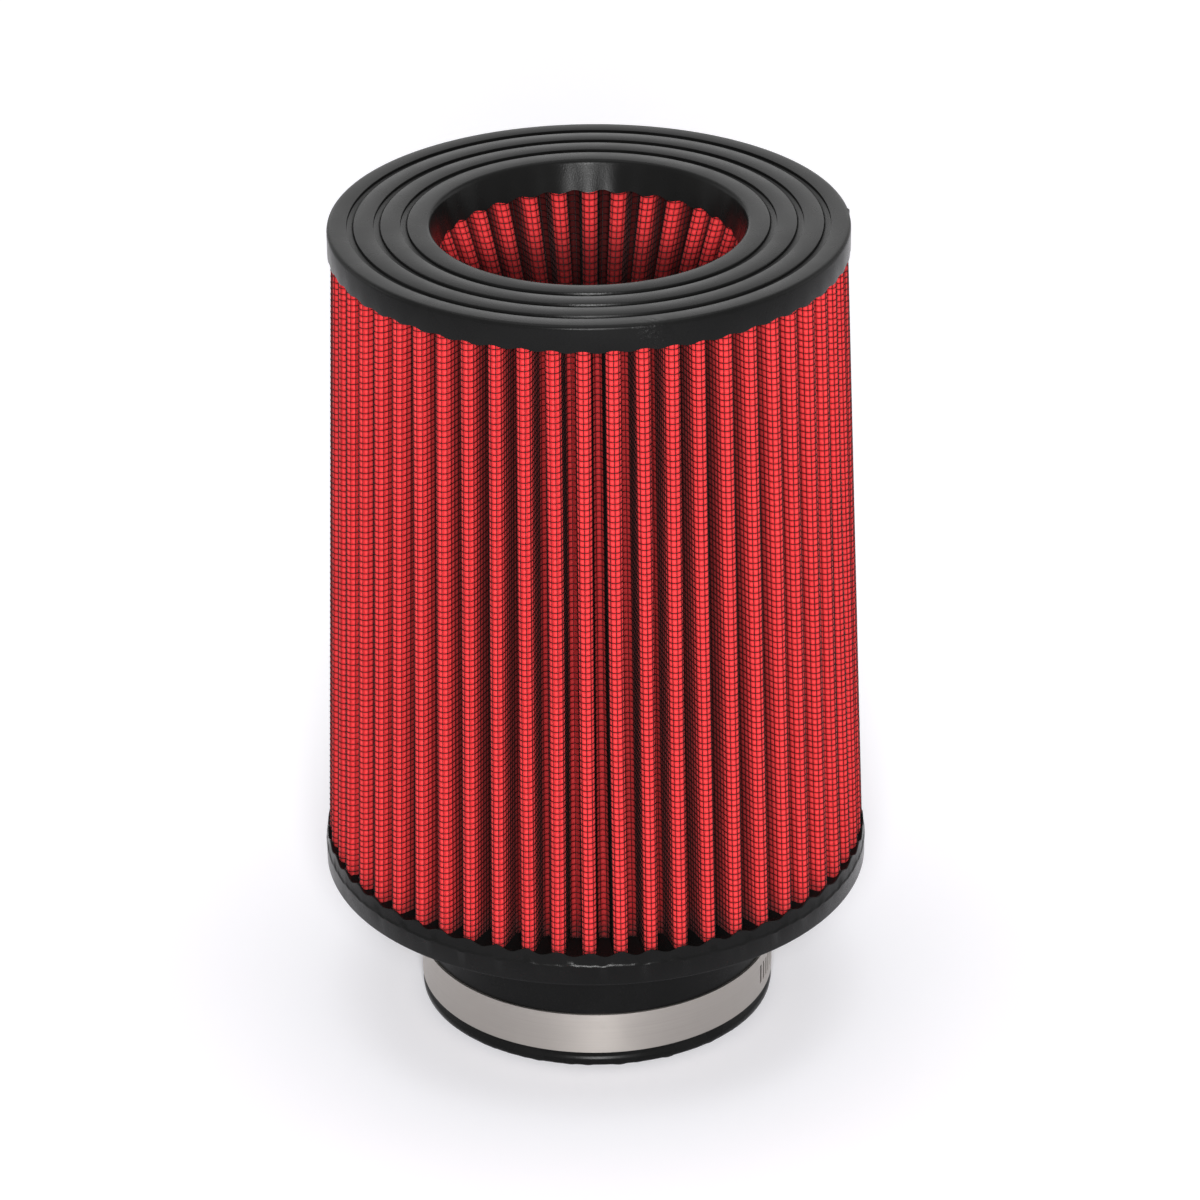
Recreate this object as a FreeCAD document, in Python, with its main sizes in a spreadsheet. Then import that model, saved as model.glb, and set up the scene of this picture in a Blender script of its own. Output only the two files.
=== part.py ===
"""Performance air filter: pleated outer cone, inverted pleated inner cone, moulded ends, worm-drive clamp.

The axis of the filter is Z. The open end of the neck stands on z = 0 and its centre is the origin.
"""
import FreeCAD
import Part
import math
import os
import Sketcher

SIZES = (
    # Overall heights along the axis.
    ("total_height", 245.0),
    ("neck_length", 44.3),
    ("flange_thickness", 7.7),
    ("cap_plate", 4.0),
    # Clearance between a pleat pack and the moulded walls beside it.
    ("seat_clearance", 0.15),
    # Outer pleats: screen face at the crests, at the lower and the upper seat.
    ("pleat_count", 55),
    ("crest_radius_low", 78.85),
    ("crest_radius_high", 72.3),
    ("pleat_depth", 11.5),
    ("crest_width", 4.6),
    ("crest_facet", 1.35),
    # The sheet: wire screen on the dirty side, cotton gauze behind it.
    ("screen_thickness", 0.3),
    ("media_thickness", 1.2),
    # Inverted cone: its crests face the axis.
    ("cone_pleat_count", 32),
    ("cone_height", 66.0),
    ("cone_crest_low", 22.0),
    ("cone_crest_high", 43.8),
    ("cone_depth_low", 7.0),
    ("cone_depth_high", 9.5),
    ("cone_gap_low", 0.6),
    ("cone_gap_high", 4.0),
    ("cone_facet_low", 0.6),
    ("cone_facet_high", 1.2),
    # Top cap.
    ("cap_skirt_length", 3.5),
    ("cap_skirt_wall", 0.45),
    ("cap_edge", 1.0),
    ("throat_skirt_length", 4.5),
    ("throat_wall", 0.55),
    ("throat_edge", 0.6),
    ("groove_radius", 66.5),
    ("groove_pitch", 7.5),
    ("groove_width", 2.0),
    ("groove_depth", 1.2),
    # Base cap with its neck.
    ("neck_radius", 51.5),
    ("neck_edge", 0.5),
    ("bore_radius", 44.45),
    ("bore_mouth", 4.0),
    ("flange_edge", 0.8),
    ("lip_height", 2.5),
    ("lip_bevel", 3.5),
    ("lip_wall", 0.5),
    ("lip_land", 0.15),
    # Plug that closes the inverted cone.
    ("plug_floor", 3.5),
    ("plug_skirt_length", 3.0),
    ("plug_wall", 1.5),
    # Worm-drive clamp.
    ("clamp_height", 5.2),
    ("clamp_angle", 60.0),
    ("band_width", 12.7),
    ("band_thickness", 0.65),
    ("band_clearance", 0.05),
    ("band_start", -10.0),
    ("lift_start", -36.0),
    ("lift_end", -13.0),
    ("tail_end", 24.0),
    ("slot_start", -82.0),
    ("slot_stop", 20.0),
    ("slot_pitch", 2.75),
    ("slot_length", 6.0),
    ("slot_width", 1.1),
    ("housing_length", 16.0),
    ("housing_wall", 1.1),
    ("housing_stop", 2.0),
    ("screw_radius", 3.4),
    ("screw_clearance", 0.06),
    ("screw_end_play", 0.05),
    ("pilot_radius", 2.0),
    ("pilot_length", 3.2),
    ("collar_radius", 3.9),
    ("collar_length", 1.0),
    ("head_width", 7.0),
    ("head_length", 5.0),
    ("driver_slot_width", 1.2),
    ("driver_slot_depth", 1.6),
)

doc = FreeCAD.newDocument("AirFilter")
sheet = doc.addObject("Spreadsheet::Sheet", "Sizes")
for row, (alias, number) in enumerate(SIZES, start=1):
    sheet.set(f"A{row}", alias)
    sheet.set(f"B{row}", str(number))
    sheet.setAlias(f"B{row}", alias)
doc.recompute()


def size(alias):
    """The number in the sheet."""
    return float(getattr(sheet, alias))


def bound(expression):
    """Names of sizes in an expression become references to the sheet."""
    aliases = {alias for alias, _ in SIZES}
    words, word = [], ""
    for letter in expression + " ":
        if letter.isalnum() or letter == "_":
            word += letter
        else:
            words.append(f"Sizes.{word}" if word in aliases else word)
            words.append(letter)
            word = ""
    return "".join(words).strip()


def new_body(name, label):
    body = doc.addObject("PartDesign::Body", name)
    body.Label = label
    return body


def origin_feature(body, role):
    return next(item for item in body.Origin.OriginFeatures if item.Role == role)


def new_sketch(body, name, plane, height="0"):
    """An empty sketch on one of the body's own planes, raised by height."""
    sketch = body.newObject("Sketcher::SketchObject", name)
    sketch.AttachmentSupport = [(origin_feature(body, plane), "")]
    sketch.MapMode = "FlatFace"
    if height != "0":
        sketch.setExpression("AttachmentOffset.Base.z", bound(height))
    return sketch


def pin_point(sketch, line, end, name, across, along):
    """Dimension one end of a line from the sketch's origin."""
    for kind, axis, expression in (("DistanceX", -2, across), ("DistanceY", -1, along)):
        if expression == "0":
            sketch.addConstraint(Sketcher.Constraint("PointOnObject", line, end, axis))
            continue
        index = sketch.addConstraint(Sketcher.Constraint(kind, -1, 1, line, end, 10.0 + line))
        sketch.renameConstraint(index, f"{name}_{kind[-1].lower()}")
        sketch.setExpression(f"Constraints.{name}_{kind[-1].lower()}", bound(expression))


def outline(sketch, points):
    """A closed polygon whose corners are dimensioned by pairs of expressions."""
    count = len(points)
    corners = [FreeCAD.Vector(10.0 + i, 10.0 + i * i * 0.1, 0) for i in range(count)]
    for i in range(count):
        sketch.addGeometry(Part.LineSegment(corners[i], corners[(i + 1) % count]), False)
    for i in range(count):
        sketch.addConstraint(Sketcher.Constraint("Coincident", i, 2, (i + 1) % count, 1))
    for i, (across, along) in enumerate(points):
        pin_point(sketch, i, 1, f"corner{i}", across, along)


def mirrored_outline(sketch, half):
    """A closed polygon, symmetric about the sketch's X axis, from the corners of its upper half."""
    count = len(half)
    total = 2 * count
    corners = [FreeCAD.Vector(10.0 + i, 5.0 + i * i * 0.1, 0) for i in range(count)]
    corners += [FreeCAD.Vector(p.x, -p.y, 0) for p in reversed(corners)]
    for i in range(total):
        sketch.addGeometry(Part.LineSegment(corners[i], corners[(i + 1) % total]), False)
    for i in range(total):
        sketch.addConstraint(Sketcher.Constraint("Coincident", i, 2, (i + 1) % total, 1))
    for i, (across, along) in enumerate(half):
        pin_point(sketch, i, 1, f"corner{i}", across, along)
        sketch.addConstraint(Sketcher.Constraint("Symmetric", i, 1, total - 1 - i, 1, -1))


def revolved(name, label, points):
    """A ring turned from a section in radius and height."""
    body = new_body(name, label)
    sketch = new_sketch(body, f"{name}Section", "XZ_Plane")
    outline(sketch, points)
    turn = body.newObject("PartDesign::Revolution", f"{name}Turn")
    turn.Profile = sketch
    turn.ReferenceAxis = (sketch, ["V_Axis"])
    turn.Angle = 360
    body.Tip = turn
    return body


def folded_ring(name, label, low, high):
    """A sheet folded into pleats and closed on itself, laid from fold to fold between two heights.

    Each end is a height, the corners of the front face and the corners of the back face round the axis.
    """
    faces = []
    for side in (1, 2):
        count = len(low[side])
        for i in range(count):
            after = (i + 1) % count
            corners = [low[side][i], low[side][after], high[side][after], high[side][i]]
            faces.append(Part.Face(Part.makePolygon(corners + corners[:1])))
    for _, front, back in (low, high):
        rims = [Part.makePolygon(loop + loop[:1]) for loop in (front, back)]
        faces.append(Part.makeFace(rims, "Part::FaceMakerBullseye"))
    skin = Part.makeShell(faces)
    skin.sewShape()
    solid = Part.makeSolid(skin)
    if solid.Volume < 0:
        solid.reverse()
    ring = doc.addObject("Part::Feature", name)
    ring.Label = label
    ring.Shape = solid
    return ring


# Heights of the three faces that the pleats stand against.
LOW_SEAT = "(neck_length + flange_thickness)"
HIGH_SEAT = "(total_height - cap_plate)"
PLUG_SEAT = f"({HIGH_SEAT} - cone_height)"
SHEET = "(screen_thickness + media_thickness)"

# How fast the crests spread from the top cap down, and how fast the cone's crests close in.
CREST_SLOPE = f"((crest_radius_low - crest_radius_high) / ({HIGH_SEAT} - {LOW_SEAT}))"
CONE_SLOPE = "((cone_crest_high - cone_crest_low) / cone_height)"


def round_axis(half, count, height):
    """Corners of a whole folded face from those of half a pleat, crest first."""
    pleat = [(x, -y) for x, y in reversed(half)] + list(half)
    corners = []
    for i in range(count):
        turn = 2.0 * math.pi * i / count
        along, across = math.cos(turn), math.sin(turn)
        corners += [FreeCAD.Vector(x * along - y * across, x * across + y * along, height) for x, y in pleat]
    return corners


def outer_half(crest, depth, faceted):
    """Corners of half an outer pleat, seen along the axis, depth behind the dirty side.

    The flanks run parallel to the middle of the pleat, and the valley is a flat across the line
    half way to the next pleat.
    """
    angle = math.pi / size("pleat_count")
    flank = size("crest_width") / 2.0 - depth
    valley = crest - size("pleat_depth") - depth
    foot = ((valley - flank * math.sin(angle)) / math.cos(angle), flank)
    if not faceted:
        return [(crest - depth, flank), foot]
    facet = size("crest_facet") + depth * (math.sqrt(2.0) - 1.0)
    return [(crest - depth, size("crest_width") / 2.0 - facet), (crest - facet, flank), foot]


def cone_half(end, depth, faceted):
    """Corners of half a pleat of the inverted cone, seen along the axis, depth behind the dirty side.

    The crest faces the axis. The two flanks of a valley are parallel, a gap apart, and keep their
    direction from end to end, so every face is plane.
    """
    angle = math.pi / int(size("cone_pleat_count"))
    crest, facet = size(f"cone_crest_{end}"), size(f"cone_facet_{end}")
    half_gap = size(f"cone_gap_{end}") / 2.0
    gap = half_gap + depth
    valley = crest + size(f"cone_depth_{end}") + depth
    foot = (
        valley * math.cos(angle) + gap * math.sin(angle),
        valley * math.sin(angle) - gap * math.cos(angle),
    )

    def flank(x):
        return x * math.tan(angle) - gap / math.cos(angle)

    if not faceted:
        return [(crest + depth, flank(crest + depth)), foot]
    bevel = (crest + facet) * math.tan(angle) - half_gap / math.cos(angle) - crest - facet
    meet = (depth * math.sqrt(2.0) - bevel - gap / math.cos(angle)) / (1.0 - math.tan(angle))
    return [(crest + depth, crest + depth + bevel - depth * math.sqrt(2.0)), (meet, flank(meet)), foot]


# The base cap: flange with a bevelled lip round the pleats, and the neck that slips over a pipe.
LIP_FACE = "(crest_radius_low + seat_clearance)"
FLANGE = f"({LIP_FACE} + lip_wall)"
base_cap = revolved(
    "BaseCap",
    "base_cap",
    [
        ("bore_radius + neck_edge", "0"),
        ("neck_radius - neck_edge", "0"),
        ("neck_radius", "neck_edge"),
        ("neck_radius", "neck_length"),
        (f"{FLANGE} - flange_edge", "neck_length"),
        (FLANGE, "neck_length + flange_edge"),
        (FLANGE, f"{LOW_SEAT} + lip_height - lip_bevel"),
        (f"{LIP_FACE} + lip_land", f"{LOW_SEAT} + lip_height"),
        (LIP_FACE, f"{LOW_SEAT} + lip_height"),
        (LIP_FACE, LOW_SEAT),
        ("bore_radius + bore_mouth", LOW_SEAT),
        ("bore_radius", f"{LOW_SEAT} - bore_mouth"),
        ("bore_radius", "neck_edge"),
    ],
)

# The outer pleats: the wire screen on the outside and the gauze folded with it. The inverted cone:
# its screen faces the throat, and its gauze lies behind.
low_seat = size("neck_length") + size("flange_thickness")
high_seat = size("total_height") - size("cap_plate")
plug_seat = high_seat - size("cone_height")
screen_back = size("screen_thickness")
media_back = screen_back + size("media_thickness")


def outer_end(height, crest, front, back):
    count = int(size("pleat_count"))
    loops = [outer_half(crest, depth, depth < media_back) for depth in (front, back)]
    return [height] + [round_axis(half, count, height) for half in loops]


def cone_end(height, end, front, back):
    count = int(size("cone_pleat_count"))
    loops = [cone_half(end, depth, depth < media_back) for depth in (front, back)]
    return [height] + [round_axis(half, count, height) for half in loops]


rings = {}
for layer, name, front, back in (
    ("screen", "Screen", 0.0, screen_back),
    ("media", "Media", screen_back, media_back),
):
    rings[f"outer_{layer}"] = folded_ring(
        f"Outer{name}",
        f"outer_{layer}",
        outer_end(low_seat, size("crest_radius_low"), front, back),
        outer_end(high_seat, size("crest_radius_high"), front, back),
    )
    rings[f"cone_{layer}"] = folded_ring(
        f"Cone{name}",
        f"cone_{layer}",
        cone_end(plug_seat, "low", front, back),
        cone_end(high_seat, "high", front, back),
    )

# The plug: a shallow moulded cup that holds the narrow end of the cone.
TIP_LOW = f"(cone_crest_low + cone_depth_low + {SHEET})"
TIP_HIGH = f"(cone_crest_high + cone_depth_high + {SHEET})"
PLUG_FACE = f"({TIP_LOW} + ({TIP_HIGH} - {TIP_LOW}) / cone_height * plug_skirt_length + seat_clearance)"
cone_plug = revolved(
    "ConePlug",
    "cone_plug",
    [
        ("0", f"{PLUG_SEAT} - plug_floor"),
        (f"{PLUG_FACE} + plug_wall", f"{PLUG_SEAT} - plug_floor"),
        (f"{PLUG_FACE} + plug_wall", f"{PLUG_SEAT} + plug_skirt_length"),
        (PLUG_FACE, f"{PLUG_SEAT} + plug_skirt_length"),
        (PLUG_FACE, PLUG_SEAT),
        ("cone_crest_low - seat_clearance", PLUG_SEAT),
        ("cone_crest_low - seat_clearance", f"{PLUG_SEAT} + plug_skirt_length"),
        ("0", f"{PLUG_SEAT} + plug_skirt_length"),
    ],
)

# The top cap: a plate with three grooves, an outer skirt and a tapered throat.
SKIRT_FACE = f"(crest_radius_high + {CREST_SLOPE} * cap_skirt_length + seat_clearance)"
THROAT_BACK = "(cone_crest_high - seat_clearance)"
THROAT = f"({THROAT_BACK} - throat_wall)"
cap_points = [
    (f"{THROAT} + {CONE_SLOPE} * cap_plate + throat_edge", "total_height"),
    (f"{THROAT} + {CONE_SLOPE} * (cap_plate - throat_edge)", "total_height - throat_edge"),
    (f"{THROAT} - {CONE_SLOPE} * throat_skirt_length", f"{HIGH_SEAT} - throat_skirt_length"),
    (f"{THROAT_BACK} - {CONE_SLOPE} * throat_skirt_length", f"{HIGH_SEAT} - throat_skirt_length"),
    (THROAT_BACK, HIGH_SEAT),
    (SKIRT_FACE, HIGH_SEAT),
    (SKIRT_FACE, f"{HIGH_SEAT} - cap_skirt_length"),
    (f"{SKIRT_FACE} + cap_skirt_wall", f"{HIGH_SEAT} - cap_skirt_length"),
    (f"{SKIRT_FACE} + cap_skirt_wall", "total_height - cap_edge"),
    (f"{SKIRT_FACE} + cap_skirt_wall - cap_edge * 0.3", "total_height - cap_edge * 0.3"),
    (f"{SKIRT_FACE} + cap_skirt_wall - cap_edge", "total_height"),
]
for step in range(3):
    middle = f"groove_radius - {step} * groove_pitch"
    cap_points += [
        (f"{middle} + groove_width / 2", "total_height"),
        (f"{middle} + groove_width / 2", "total_height - groove_depth"),
        (f"{middle} - groove_width / 2", "total_height - groove_depth"),
        (f"{middle} - groove_width / 2", "total_height"),
    ]
top_cap = revolved("TopCap", "top_cap", cap_points)

# Radii of the clamp where the strip lies on itself, and the axis of the worm screw above it.
STRIP = "(neck_radius + band_clearance)"
TURN_RISE = "(band_thickness + band_clearance)"
TUNNEL = f"({STRIP} + {TURN_RISE} + band_thickness + band_clearance)"
SCREW_AXIS = f"({TUNNEL} + screw_radius)"
CROWN = "(screw_radius + screw_clearance + housing_wall)"


def unit(degrees):
    turn = math.radians(degrees)
    return FreeCAD.Vector(math.cos(turn), math.sin(turn), 0)


def strip_face(radius):
    """Edges of one face of the clamp strip: round the neck, lifted over its own start, and on to the tail.

    The lift is two arcs that leave the neck and join the outer turn without a corner.
    """
    start, low = size("band_start"), size("lift_start")
    high, end = size("lift_end"), size("tail_end")
    rise = size("band_thickness") + size("band_clearance")
    bend = rise / (2.0 * (1.0 - math.cos(math.radians(high - low) / 2.0)))
    half_way = (start + low + 360.0) / 2.0
    outer = radius + rise
    join = unit((low + high) / 2.0) * (radius + bend) - unit(low) * bend

    def arc(first, last, centre, reach):
        way = (first - centre).normalize() + (last - centre).normalize()
        return Part.Arc(first, centre + way.normalize() * reach, last).toShape()

    def around(first, last, reach):
        return Part.Arc(unit(first) * reach, unit((first + last) / 2.0) * reach, unit(last) * reach).toShape()

    return [
        around(start, half_way, radius),
        around(half_way, low + 360.0, radius),
        arc(unit(low) * radius, join, unit(low) * -bend, radius + bend),
        arc(join, unit(high) * outer, unit(high) * bend, outer - bend),
        around(high, end, outer),
    ]


def strip_radius(angle):
    """How far from the axis the strip's inner face lies at an angle."""
    inner = size("neck_radius") + size("band_clearance")
    ray = Part.makeLine(unit(angle) * (inner - 1.0), unit(angle) * (inner + 2.0))
    crossings = [edge.distToShape(ray) for edge in strip_face(inner)[1:]]
    near = min(crossings, key=lambda found: found[0])
    return near[1][0][0].Length


def clamp_strip():
    """The strip, standing on edge about z = 0, with a row of slots for the worm."""
    inner = size("neck_radius") + size("band_clearance")
    width, thick = size("band_width"), size("band_thickness")
    faces = strip_face(inner), strip_face(inner + thick)
    ends = [
        Part.makeLine(unit(angle) * low, unit(angle) * (low + thick))
        for angle, low in (
            (size("band_start"), inner),
            (size("tail_end"), inner + thick + size("band_clearance")),
        )
    ]
    wire = Part.Wire(Part.__sortEdges__(faces[0] + faces[1] + ends))
    strip = Part.Face(wire).extrude(FreeCAD.Vector(0, 0, width))
    strip.translate(FreeCAD.Vector(0, 0, -width / 2.0))
    slots = []
    count = int((size("slot_stop") - size("slot_start")) / size("slot_pitch")) + 1
    for i in range(count):
        angle = size("slot_start") + i * size("slot_pitch")
        corner = FreeCAD.Vector(
            strip_radius(angle) - size("band_clearance") / 2.0,
            -size("slot_width") / 2.0,
            -size("slot_length") / 2.0,
        )
        slot = Part.makeBox(2.0 * thick, size("slot_width"), size("slot_length"), corner)
        slot.rotate(FreeCAD.Vector(), FreeCAD.Vector(0, 0, 1), angle)
        slots.append(slot)
    return strip.cut(slots)


# The clamp strip is one stainless strip bent round the neck, its tail lying over its start.
clamp_place = FreeCAD.Placement(
    FreeCAD.Vector(0, 0, size("clamp_height") + size("band_width") / 2.0),
    FreeCAD.Rotation(FreeCAD.Vector(0, 0, 1), size("clamp_angle")),
)
clamp_band = doc.addObject("Part::Feature", "ClampBand")
clamp_band.Label = "clamp_band"
clamp_band.Shape = clamp_strip()
clamp_band.Placement = clamp_place

# The housing straddles the strip and carries the worm screw in a tunnel that opens on the strip.
clamp_housing = new_body("ClampHousing", "clamp_housing")
saddle = new_sketch(clamp_housing, "HousingSection", "XZ_Plane")
mirrored_outline(
    saddle,
    [
        (f"{SCREW_AXIS} + {CROWN}", f"{CROWN} * 0.42"),
        (f"{SCREW_AXIS} + {CROWN} * 0.42", CROWN),
        (SCREW_AXIS, CROWN),
        (f"{TUNNEL} + housing_wall", "band_width / 2 + housing_wall"),
        ("neck_radius + 2 * band_clearance", "band_width / 2 + housing_wall"),
        ("neck_radius + 2 * band_clearance", "band_width / 2"),
        (TUNNEL, "band_width / 2"),
    ],
)
block = clamp_housing.newObject("PartDesign::Pad", "HousingBlock")
block.Profile = saddle
block.SideType = "Symmetric"
block.setExpression("Length", bound("housing_length"))
doc.recompute()
for name, radius, reach in (
    ("Tunnel", "screw_radius + screw_clearance", "housing_length - housing_stop"),
    ("Pilot", "pilot_radius + screw_clearance", "housing_length"),
):
    ring = new_sketch(clamp_housing, f"Housing{name}Circle", "XZ_Plane", "-housing_length / 2")
    ring.addGeometry(Part.Circle(FreeCAD.Vector(50, 0, 0), FreeCAD.Vector(0, 0, 1), 3.0), False)
    ring.addConstraint(Sketcher.Constraint("PointOnObject", 0, 3, -1))
    ring.addConstraint(Sketcher.Constraint("DistanceX", -1, 1, 0, 3, 50.0))
    ring.setExpression("Constraints[1]", bound(SCREW_AXIS))
    ring.addConstraint(Sketcher.Constraint("Radius", 0, 3.0))
    ring.setExpression("Constraints[2]", bound(radius))
    before = clamp_housing.Tip.Shape.Volume
    bore = clamp_housing.newObject("PartDesign::Pocket", f"Housing{name}")
    bore.Profile = ring
    bore.Reversed = True
    bore.setExpression("Length", bound(reach))
    doc.recompute()
    if bore.Shape.Volume > before - 1.0:
        raise RuntimeError(f"{name} cuts nothing")
clamp_housing.Placement = clamp_place

# The worm screw: pilot, worm, collar and slotted hexagon head, along z from the tip of the pilot.
screw_parts = []
WORM_END = "(pilot_length + housing_length - housing_stop)"
for name, radius, start, reach in (
    ("Pilot", "pilot_radius", "0", "pilot_length"),
    ("Worm", "screw_radius", "pilot_length", "housing_length - housing_stop"),
    ("Collar", "collar_radius", WORM_END, "collar_length"),
):
    turned = doc.addObject("Part::Cylinder", f"Screw{name}")
    turned.setExpression("Radius", bound(radius))
    turned.setExpression("Height", bound(reach))
    turned.setExpression("Placement.Base.z", bound(start))
    screw_parts.append(turned)
head = doc.addObject("Part::Prism", "ScrewHead")
head.Polygon = 6
head.setExpression("Circumradius", bound("head_width / sqrt(3)"))
head.setExpression("Height", bound("head_length"))
head.setExpression("Placement.Base.z", bound(f"{WORM_END} + collar_length"))
screw_blank = doc.addObject("Part::MultiFuse", "ScrewBlank")
screw_blank.Shapes = screw_parts + [head]
driver_slot = doc.addObject("Part::Box", "DriverSlot")
driver_slot.setExpression("Length", bound("2 * head_width"))
driver_slot.setExpression("Width", bound("driver_slot_width"))
driver_slot.setExpression("Height", bound("2 * driver_slot_depth"))
driver_slot.setExpression("Placement.Base.x", bound("-head_width"))
driver_slot.setExpression("Placement.Base.y", bound("-driver_slot_width / 2"))
driver_slot.setExpression(
    "Placement.Base.z", bound(f"{WORM_END} + collar_length + head_length - driver_slot_depth")
)
clamp_screw = doc.addObject("Part::Cut", "ClampScrew")
clamp_screw.Label = "clamp_screw"
clamp_screw.Base = screw_blank
clamp_screw.Tool = driver_slot
tunnel_height = (
    size("neck_radius") + 3.0 * size("band_clearance") + 2.0 * size("band_thickness") + size("screw_radius")
)
pilot_tip = size("housing_stop") + size("screw_end_play") - size("housing_length") / 2.0 - size("pilot_length")
clamp_screw.Placement = clamp_place.multiply(
    FreeCAD.Placement(
        FreeCAD.Vector(tunnel_height, pilot_tip, 0),
        FreeCAD.Rotation(FreeCAD.Vector(1, 0, 0), -90),
    )
)

doc.recompute()
failed = [item.Name for item in doc.Objects if "Invalid" in item.State or "Error" in item.State]
if failed:
    raise RuntimeError(f"failed: {failed}")
pieces = (
    base_cap,
    *rings.values(),
    cone_plug,
    top_cap,
    clamp_band,
    clamp_housing,
    clamp_screw,
)
for piece in pieces:
    if piece.Shape.isNull() or not piece.Shape.isValid() or len(piece.Shape.Solids) != 1:
        raise RuntimeError(f"{piece.Label} is not one valid solid")
os.makedirs("parts", exist_ok=True)
for piece in pieces:
    piece.Shape.exportStep(f"parts/{piece.Label}.step")
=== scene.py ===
import math

import bpy
import numpy as np
from mathutils import Matrix


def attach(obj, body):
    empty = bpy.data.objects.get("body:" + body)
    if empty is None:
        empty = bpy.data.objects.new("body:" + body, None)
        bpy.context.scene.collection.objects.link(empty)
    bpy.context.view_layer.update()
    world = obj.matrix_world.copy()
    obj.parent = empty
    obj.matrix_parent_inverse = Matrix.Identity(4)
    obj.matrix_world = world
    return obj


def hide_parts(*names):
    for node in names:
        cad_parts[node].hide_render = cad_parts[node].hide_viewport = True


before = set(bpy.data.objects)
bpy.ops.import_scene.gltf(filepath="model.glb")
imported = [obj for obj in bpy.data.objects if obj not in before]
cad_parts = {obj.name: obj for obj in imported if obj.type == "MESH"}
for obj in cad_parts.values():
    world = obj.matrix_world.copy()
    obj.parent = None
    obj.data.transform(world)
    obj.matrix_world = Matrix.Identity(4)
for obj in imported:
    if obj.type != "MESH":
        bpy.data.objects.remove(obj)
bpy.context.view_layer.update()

# Base cap: flange, bevelled lip and neck in one black polyurethane moulding, cast round the feet of the pleats.
# It is turned from its section in millimetres of radius and height. The resin is drawn up at each crest, so
# that the lip waves with the pleats, and the end of the neck is trimmed a little raggedly.
PLEATS = 55
STEPS_A_PLEAT = 8
FRONT_TURN = math.radians(-91.5)
LIP_INSIDE, LIP_OUTSIDE, LIP_FOOT, LIP_HEIGHT = 0.0765, 0.0791, 0.0534, 0.0008
LIP_WAVE, LIP_DIP, POOL_WAVE = 0.0006, 0.0003, 0.0005
BEVEL_RAGGED, TRIM_LIFT, TRIM_RAGGED = 0.00012, 0.0003, 0.0001
DEEP_BLACK, PALE_BLACK = (0.0035, 0.0035, 0.0035), (0.008, 0.008, 0.008)
MOULD_GRAIN = 0.3
base_section = [
    (44.95, 0.0), (51.0, 0.0), (51.5, 0.3), (51.9, 0.9), (52.05, 1.7), (52.05, 2.5), (51.97, 2.8),
    (51.87, 2.98), (51.77, 3.15), (51.67, 3.33), (51.57, 3.5), (51.5, 3.75), (51.5, 43.3), (51.8, 44.0),
    (52.5, 44.3), (78.5, 44.3), (79.1, 44.5), (79.4, 45.1), (79.4, 50.1), (79.48, 50.4), (79.46, 50.6),
    (79.37, 50.76), (79.28, 50.92), (79.19, 51.08), (79.12, 51.3), (79.05, 54.0), (78.98, 54.4),
    (78.7, 54.55), (78.3, 54.4), (77.9, 53.9), (77.4, 53.65), (76.0, 53.5), (70.0, 53.4), (63.0, 53.4),
    (61.5, 53.0), (61.0, 52.0), (49.6, 52.0), (47.6, 51.4), (45.6, 49.8), (44.6, 48.0), (44.45, 46.5),
    (44.45, 0.5),
]


def turned(name, section, steps):
    """A closed section in radius and height, in millimetres, spun round the axis."""
    bpy.ops.object.select_all(action="DESELECT")
    bpy.ops.mesh.primitive_plane_add(size=0.001, location=(0, 0, 0))
    piece = bpy.context.object
    piece.name = piece.data.name = name
    bpy.ops.object.mode_set(mode="EDIT")
    bpy.ops.mesh.select_all(action="SELECT")
    bpy.ops.mesh.merge(type="CENTER")
    here = (0.0, 0.0)
    for i, (radius, height) in enumerate(section):
        step = ((radius - here[0]) * 0.001, 0.0, (height - here[1]) * 0.001)
        if i == 0:
            bpy.ops.transform.translate(value=step)
        else:
            bpy.ops.mesh.extrude_region_move(TRANSFORM_OT_translate={"value": step})
        here = (radius, height)
    if section[0][0] > 0.0:
        bpy.ops.mesh.select_all(action="DESELECT")
        bpy.ops.object.mode_set(mode="OBJECT")
        ends = (section[0], section[-1])
        for vertex in piece.data.vertices:
            apart = [abs(vertex.co.x * 1000 - r) + abs(vertex.co.z * 1000 - h) for r, h in ends]
            vertex.select = min(apart) < 0.001
        bpy.ops.object.mode_set(mode="EDIT")
        bpy.ops.mesh.edge_face_add()
    bpy.ops.mesh.select_all(action="SELECT")
    bpy.ops.mesh.spin(steps=steps, angle=2 * math.pi, center=(0, 0, 0), axis=(0, 0, 1))
    bpy.ops.mesh.select_all(action="SELECT")
    bpy.ops.mesh.remove_doubles(threshold=1e-6)
    bpy.ops.mesh.normals_make_consistent(inside=False)
    bpy.ops.object.mode_set(mode="OBJECT")
    bpy.ops.object.shade_smooth_by_angle(angle=math.radians(38))
    return piece


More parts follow.
